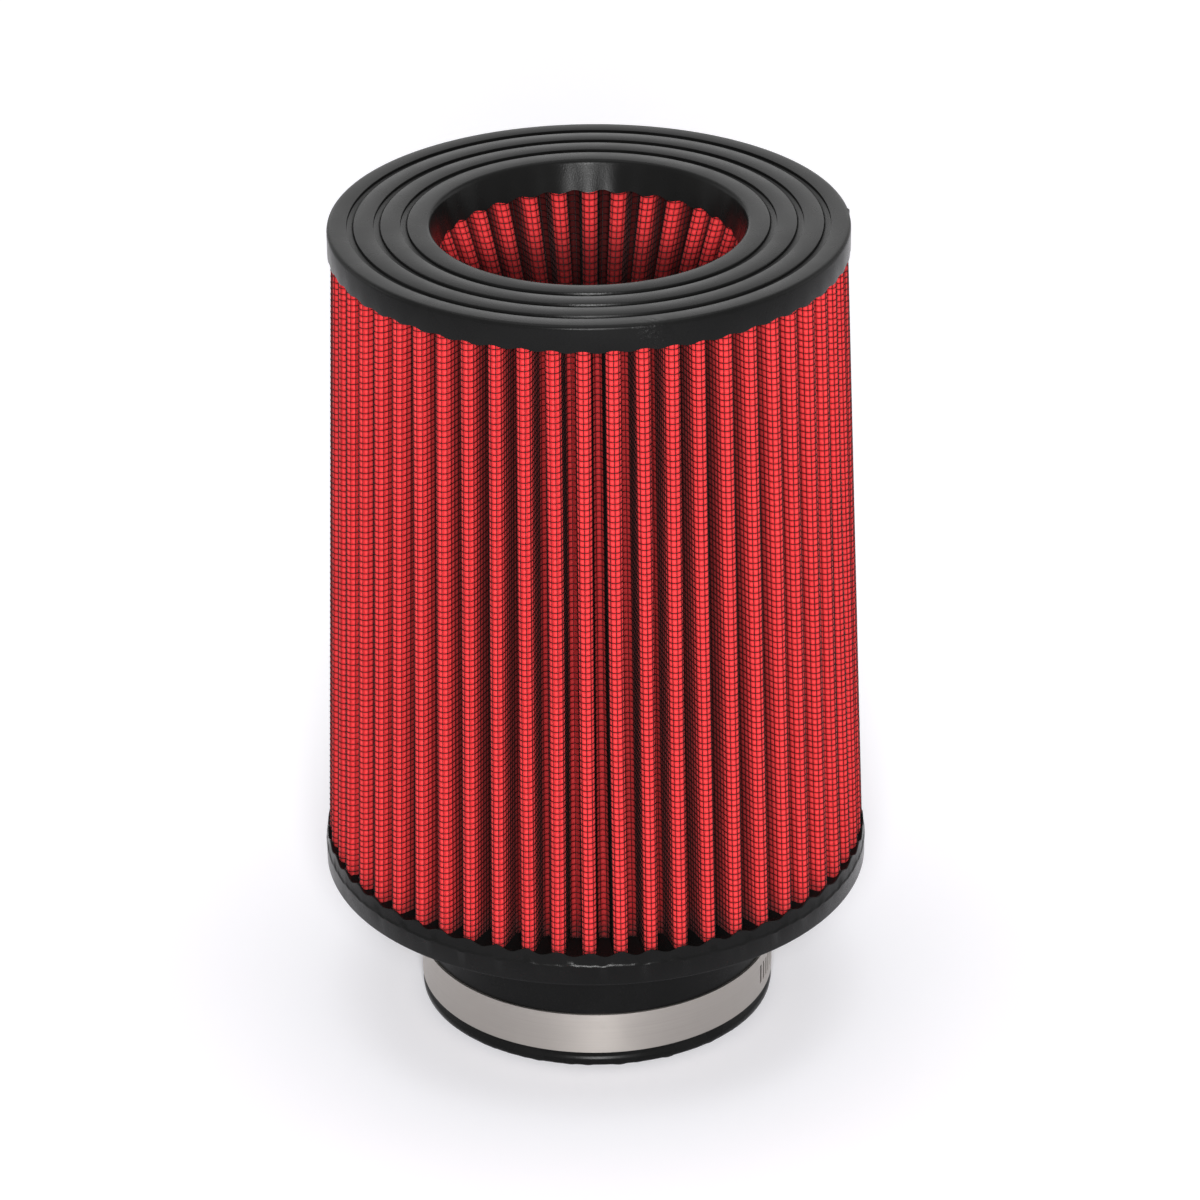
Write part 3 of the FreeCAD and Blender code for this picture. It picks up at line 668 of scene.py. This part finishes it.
def scuffed(material, centre, edge, core):
    """Roughens a round patch of a moulded finish, from its core to its edge, under the finish's own grain."""
    nodes, links = material.node_tree.nodes, material.node_tree.links
    where = nodes.new("ShaderNodeTexCoord")
    apart = nodes.new("ShaderNodeVectorMath")
    apart.operation = "DISTANCE"
    apart.inputs[1].default_value = centre
    links.new(where.outputs["Object"], apart.inputs[0])
    scuff = nodes.new("ShaderNodeMapRange")
    scuff.inputs["From Min"].default_value = edge
    scuff.inputs["From Max"].default_value = core
    scuff.inputs["To Min"].default_value = 0.0
    scuff.inputs["To Max"].default_value = 1.0
    links.new(apart.outputs["Value"], scuff.inputs["Value"])
    torn = nodes.new("ShaderNodeTexNoise")
    torn.inputs["Scale"].default_value = 900.0
    torn.inputs["Detail"].default_value = 5.0
    links.new(where.outputs["Object"], torn.inputs["Vector"])
    raw = nodes.new("ShaderNodeMath")
    raw.operation = "MULTIPLY"
    links.new(scuff.outputs["Result"], raw.inputs[0])
    links.new(torn.outputs["Fac"], raw.inputs[1])
    deeper = nodes.new("ShaderNodeBump")
    deeper.inputs["Strength"].default_value = 1.0
    deeper.inputs["Distance"].default_value = 0.0008
    links.new(raw.outputs["Value"], deeper.inputs["Height"])
    links.new(deeper.outputs["Normal"], nodes["Bump"].inputs["Normal"])


cap_black = moulded_black("cap_polyurethane", DEEP_BLACK, CAP_PALE, MOULD_GRAIN)
scuffed(cap_black, SCUFF_CENTRE, SCUFF_EDGE, SCUFF_CORE)
top_cap.data.materials.append(cap_black)
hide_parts("top_cap")
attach(top_cap, "filter")

# Clamp strip: rolled stainless half an inch wide, with fine lines along it and slots for the worm.
# It lies round the neck, and its tail lies over its own start. The CAD solid is the finished shape.
STRIP_STEEL, STRIP_ROUGHNESS = (0.43, 0.4, 0.375), 0.45


def rolled_lines():
    """Node group: colour, roughness and height of rolled metal, with fine lines round the axis."""
    group = bpy.data.node_groups.new("rolled_lines", "ShaderNodeTree")
    for name, kind in (("Dark", "Color"), ("Pale", "Color"), ("Smooth", "Float"), ("Rough", "Float")):
        group.interface.new_socket(name=name, in_out="INPUT", socket_type="NodeSocket" + kind)
    for name, kind in (("Color", "Color"), ("Roughness", "Float"), ("Height", "Float")):
        group.interface.new_socket(name=name, in_out="OUTPUT", socket_type="NodeSocket" + kind)
    nodes, links = group.nodes, group.links
    inlet, outlet = nodes.new("NodeGroupInput"), nodes.new("NodeGroupOutput")
    where = nodes.new("ShaderNodeTexCoord")
    stretch = nodes.new("ShaderNodeMapping")
    stretch.inputs["Scale"].default_value = (25.0, 25.0, 5200.0)
    links.new(where.outputs["Object"], stretch.inputs["Vector"])
    lines = nodes.new("ShaderNodeTexNoise")
    lines.inputs["Scale"].default_value = 1.0
    lines.inputs["Detail"].default_value = 4.0
    links.new(stretch.outputs["Vector"], lines.inputs["Vector"])
    cloud = nodes.new("ShaderNodeTexNoise")
    cloud.inputs["Scale"].default_value = 90.0
    links.new(where.outputs["Object"], cloud.inputs["Vector"])
    shade = nodes.new("ShaderNodeMix")
    shade.data_type = "RGBA"
    links.new(lines.outputs["Fac"], shade.inputs["Factor"])
    links.new(inlet.outputs["Dark"], shade.inputs[6])
    links.new(inlet.outputs["Pale"], shade.inputs[7])
    links.new(shade.outputs[2], outlet.inputs["Color"])
    rough = nodes.new("ShaderNodeMapRange")
    links.new(cloud.outputs["Fac"], rough.inputs["Value"])
    links.new(inlet.outputs["Smooth"], rough.inputs["To Min"])
    links.new(inlet.outputs["Rough"], rough.inputs["To Max"])
    links.new(rough.outputs["Result"], outlet.inputs["Roughness"])
    links.new(lines.outputs["Fac"], outlet.inputs["Height"])
    return group


rolled_group = rolled_lines()


def rolled_stainless(name, colour, roughness):
    """Rolled or plated metal of a colour, whose highlight is drawn out across its lines."""
    material = bpy.data.materials.new(name)
    material.use_nodes = True
    nodes, links = material.node_tree.nodes, material.node_tree.links
    bsdf = nodes["Principled BSDF"]
    bsdf.inputs["Metallic"].default_value = 1.0
    bsdf.inputs["Anisotropic"].default_value = 0.57
    bsdf.inputs["Anisotropic Rotation"].default_value = 0.25
    lay = nodes.new("ShaderNodeTangent")
    lay.direction_type = "RADIAL"
    lay.axis = "Z"
    links.new(lay.outputs["Tangent"], bsdf.inputs["Tangent"])
    rolled = nodes.new("ShaderNodeGroup")
    rolled.node_tree = rolled_group
    rolled.inputs["Dark"].default_value = (*[c * 0.82 for c in colour], 1)
    rolled.inputs["Pale"].default_value = (*colour, 1)
    rolled.inputs["Smooth"].default_value = roughness - 0.08
    rolled.inputs["Rough"].default_value = roughness + 0.1
    links.new(rolled.outputs["Color"], bsdf.inputs["Base Color"])
    links.new(rolled.outputs["Roughness"], bsdf.inputs["Roughness"])
    raised = nodes.new("ShaderNodeBump")
    raised.inputs["Strength"].default_value = 0.12
    raised.inputs["Distance"].default_value = 0.00004
    links.new(rolled.outputs["Height"], raised.inputs["Height"])
    links.new(raised.outputs["Normal"], bsdf.inputs["Normal"])
    return material


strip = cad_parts["clamp_band"]
strip.data.materials.clear()
strip.data.materials.append(rolled_stainless("rolled_stainless_strip", STRIP_STEEL, STRIP_ROUGHNESS))

# Clamp housing: a stainless pressing folded round the worm screw, its skirts gripping the strip's edges.
# A ring at its blind end carries the screw's pilot. Its section, in millimetres out from the axis and up
# from the screw, is drawn along the screw and then turned to the clamp's place.
SCREW_OUT, SCREW_UP, CLAMP_TURN = 56.35, 11.55, math.radians(60)
CROWN, TUNNEL, SEAT = 4.56, 3.47, 52.95
HOUSING_HALF = 0.008
HOUSING_STEEL, HOUSING_ROUGHNESS = (0.62, 0.58, 0.55), 0.42
crown = [(SCREW_OUT + CROWN * math.cos(t), CROWN * math.sin(t)) for t in np.linspace(1.75, -1.75, 21)]
tunnel = [(SCREW_OUT + TUNNEL * math.cos(t), TUNNEL * math.sin(t)) for t in np.linspace(-2.97, 2.97, 25)]
skirt = [(51.65, 7.45), (53.3, 7.45), (53.95, 7.1), (54.4, 6.2), (54.9, 5.1)]
pressing = skirt + crown + [(out, -up) for out, up in reversed(skirt)]
pressing += [(51.65, -6.4), (SEAT, -6.4)] + tunnel + [(SEAT, 6.4), (51.65, 6.4)]
stop_section = [(2.06, -8.0), (3.6, -8.0), (3.6, -6.05), (2.06, -6.05)]
bpy.ops.object.select_all(action="DESELECT")
bpy.ops.mesh.primitive_plane_add(size=0.001, location=(0, 0, 0))
housing = bpy.context.object
housing.name = housing.data.name = "clamp_housing_pressing"
bpy.ops.object.mode_set(mode="EDIT")
bpy.ops.mesh.select_all(action="SELECT")
bpy.ops.mesh.merge(type="CENTER")
bpy.ops.transform.translate(value=(pressing[0][0] * 0.001, -HOUSING_HALF, pressing[0][1] * 0.001))
for before, after in zip(pressing, pressing[1:]):
    step = ((after[0] - before[0]) * 0.001, 0.0, (after[1] - before[1]) * 0.001)
    bpy.ops.mesh.extrude_region_move(TRANSFORM_OT_translate={"value": step})
bpy.ops.mesh.select_all(action="SELECT")
bpy.ops.mesh.edge_face_add()
bpy.ops.mesh.extrude_region_move(TRANSFORM_OT_translate={"value": (0.0, 2 * HOUSING_HALF, 0.0)})
bpy.ops.mesh.select_all(action="SELECT")
bpy.ops.mesh.normals_make_consistent(inside=False)
bpy.ops.object.mode_set(mode="OBJECT")
stop = turned("clamp_housing_stop", stop_section, 40)
stop.rotation_euler = (math.radians(-90), 0, 0)
stop.location = (SCREW_OUT * 0.001, 0, 0)
bpy.ops.object.select_all(action="DESELECT")
stop.select_set(True)
housing.select_set(True)
bpy.context.view_layer.objects.active = housing
bpy.ops.object.join()
bend = housing.modifiers.new("pressed_edges", "BEVEL")
bend.width = 0.00018
bend.segments = 2
bend.limit_method = "ANGLE"
bend.angle_limit = math.radians(40)
bpy.ops.object.modifier_apply(modifier=bend.name)
housing.rotation_euler = (0, 0, CLAMP_TURN)
housing.location = (0, 0, SCREW_UP * 0.001)
bpy.ops.object.transform_apply(location=True, rotation=True, scale=True)
bpy.ops.object.shade_smooth_by_angle(angle=math.radians(35))
housing_metal = rolled_stainless("pressed_stainless_housing", HOUSING_STEEL, HOUSING_ROUGHNESS)
housing.data.materials.append(housing_metal)
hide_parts("clamp_housing")
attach(housing, "filter")

# Worm screw: zinc-plated steel, with a hexagon head that has a driver slot across it.
# It turns in the housing and draws the strip tight. The CAD solid is the finished shape.
SCREW_ZINC, SCREW_ROUGHNESS = (0.58, 0.55, 0.51), 0.42
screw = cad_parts["clamp_screw"]
screw.data.materials.clear()
screw.data.materials.append(rolled_stainless("zinc_plated_screw", SCREW_ZINC, SCREW_ROUGHNESS))

# Studio: a pale paper floor that keeps the shadow and is lifted to white away from the filter, a key lamp in
# front, a broad lamp above, weak lamps behind and at both sides, and the photograph's camera.
FLOOR_PAPER = (0.9, 0.89, 0.93, 1)
# The floor's painted glow: the distances from the filter over which it grows, and its strength near and far.
LIFT_FROM, LIFT_TO, LIFT_NEAR, LIFT_FAR = 0.06, 0.3, 0.15, 0.38
WORLD_LIGHT, WORLD_SHOWN = 0.1, 1.0
LAMP_AIM = 0.13
CAMERA_PLACE, CAMERA_DOWN, CAMERA_ROLL = (0.002023, -1.31405, 0.79747), 27.058, -0.0108


def looking_rays(tree):
    """1 for the rays that show the background: straight to the camera, mirrored or let through."""
    ray = tree.nodes.new("ShaderNodeLightPath")
    shown = ray.outputs["Is Camera Ray"]
    for other in ("Is Glossy Ray", "Is Transmission Ray"):
        either = tree.nodes.new("ShaderNodeMath")
        either.operation = "MAXIMUM"
        tree.links.new(shown, either.inputs[0])
        tree.links.new(ray.outputs[other], either.inputs[1])
        shown = either.outputs["Value"]
    return shown


def studio_paper():
    """Matte pale paper, with a painted glow for the rays that show it that grows with the distance from the
    filter.
    """
    paper = bpy.data.materials.new("studio_paper")
    paper.use_nodes = True
    nodes, links = paper.node_tree.nodes, paper.node_tree.links
    matte = nodes["Principled BSDF"]
    matte.inputs["Base Color"].default_value = FLOOR_PAPER
    matte.inputs["Roughness"].default_value = 0.9
    matte.inputs["Specular IOR Level"].default_value = 0.1
    # Painted glow: the paper glows for the rays that show it, weaker near the filter and stronger away from it.
    matte.inputs["Emission Color"].default_value = (1, 1, 1, 1)
    where = nodes.new("ShaderNodeTexCoord")
    away = nodes.new("ShaderNodeVectorMath")
    away.operation = "LENGTH"
    links.new(where.outputs["Object"], away.inputs[0])
    fade = nodes.new("ShaderNodeMapRange")
    fade.interpolation_type = "SMOOTHSTEP"
    fade.inputs["From Min"].default_value = LIFT_FROM
    fade.inputs["From Max"].default_value = LIFT_TO
    fade.inputs["To Min"].default_value = LIFT_NEAR
    fade.inputs["To Max"].default_value = LIFT_FAR
    links.new(away.outputs["Value"], fade.inputs["Value"])
    lift = nodes.new("ShaderNodeMath")
    lift.operation = "MULTIPLY"
    links.new(looking_rays(paper.node_tree), lift.inputs[0])
    links.new(fade.outputs["Result"], lift.inputs[1])
    links.new(lift.outputs["Value"], matte.inputs["Emission Strength"])
    return paper


bpy.ops.object.select_all(action="DESELECT")
bpy.ops.mesh.primitive_plane_add(size=12, location=(0, 0, 0))
floor = bpy.context.object
floor.name = "studio_floor"
floor.data.materials.append(studio_paper())
for name, place, energy, size in (
    ("key", (0.02, -1.8, 0.95), 42.0, 0.42),
    ("top", (0.0, 0.1, 2.0), 14.0, 1.6),
    ("back", (0.0, 1.6, 1.05), 5.0, 1.5),
    ("left", (-1.6, 0.5, 0.7), 3.0, 1.0),
    ("right", (1.6, 0.5, 0.7), 3.0, 1.0),
):
    lamp = bpy.data.lights.new(name, "AREA")
    lamp.energy, lamp.size = energy, size
    holder = bpy.data.objects.new(name, lamp)
    holder.location = place
    aim = -holder.location.copy()
    aim.z += LAMP_AIM
    holder.rotation_euler = aim.to_track_quat("-Z", "Y").to_euler()
    bpy.context.collection.objects.link(holder)
world = bpy.data.worlds.new("studio")
bpy.context.scene.world = world
world.use_nodes = True
backdrop = world.node_tree.nodes["Background"]
bright = world.node_tree.nodes.new("ShaderNodeMix")
bright.data_type = "FLOAT"
bright.inputs[2].default_value = WORLD_LIGHT
bright.inputs[3].default_value = WORLD_SHOWN
world.node_tree.links.new(looking_rays(world.node_tree), bright.inputs[0])
backdrop.inputs["Color"].default_value = (1, 1, 1, 1)
world.node_tree.links.new(bright.outputs[0], backdrop.inputs["Strength"])
camera = bpy.data.cameras.new("photo_camera")
camera.lens, camera.sensor_width = 153.21, 36.0
camera.clip_end = 50
eye = bpy.data.objects.new("photo_camera", camera)
eye.location = CAMERA_PLACE
turn = Matrix.Rotation(math.radians(90 - CAMERA_DOWN), 3, "X") @ Matrix.Rotation(CAMERA_ROLL, 3, "Z")
eye.rotation_euler = turn.to_euler("XYZ")
bpy.context.collection.objects.link(eye)
bpy.context.scene.camera = eye
bpy.context.scene.view_settings.view_transform = "Standard"
